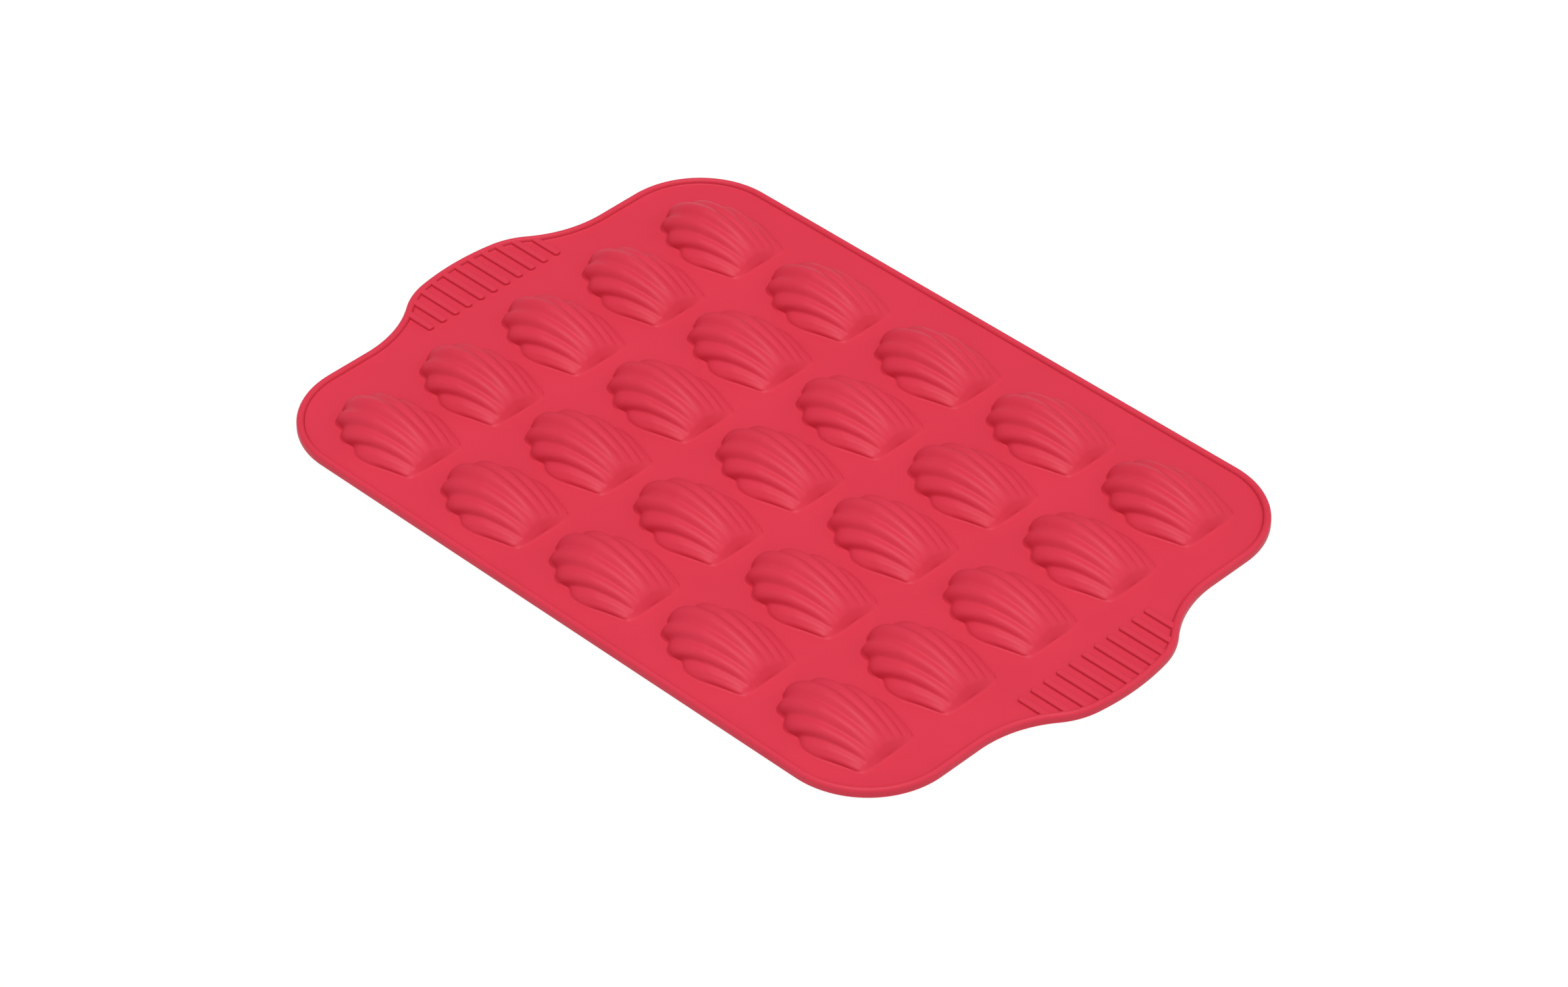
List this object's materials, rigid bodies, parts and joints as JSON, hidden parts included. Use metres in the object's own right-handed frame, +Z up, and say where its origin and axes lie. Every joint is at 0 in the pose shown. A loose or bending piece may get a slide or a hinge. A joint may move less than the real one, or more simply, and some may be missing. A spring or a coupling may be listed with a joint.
{
  "type": "madeleine pan",
  "caption": "Flexible silicone mould with shell-shaped cups in a flat web, a raised bead round the edge and ribbed finger tabs at both ends, lying on its open face",
  "frame": {"origin": "middle of the outline on the flat face that the mould rests on", "axes": "+X along the length toward the end that the cups' straight ends face, +Y across the width, +Z up from the flat face to the backs of the cups"},
  "size_m": [0.3306, 0.2184, 0.013],
  "materials": {
    "silicone": "matt satin moulded silicone"
  },
  "bodies": {
    "root": {"sheet": "silicone", "rim": "silicone", "tab_left": "silicone", "tab_right": "silicone", "grip_ribs_left": "silicone", "grip_ribs_right": "silicone", "cup_1_1": "silicone", "cup_1_2": "silicone", "cup_1_3": "silicone", "cup_1_4": "silicone", "cup_1_5": "silicone", "cup_2_1": "silicone", "cup_2_2": "silicone", "cup_2_3": "silicone", "cup_2_4": "silicone", "cup_2_5": "silicone", "cup_3_1": "silicone", "cup_3_2": "silicone", "cup_3_3": "silicone", "cup_3_4": "silicone", "cup_3_5": "silicone", "cup_4_1": "silicone", "cup_4_2": "silicone", "cup_4_3": "silicone", "cup_4_4": "silicone", "cup_4_5": "silicone", "cup_5_1": "silicone", "cup_5_2": "silicone", "cup_5_3": "silicone", "cup_5_4": "silicone", "cup_5_5": "silicone"}
  },
  "joints": []
}
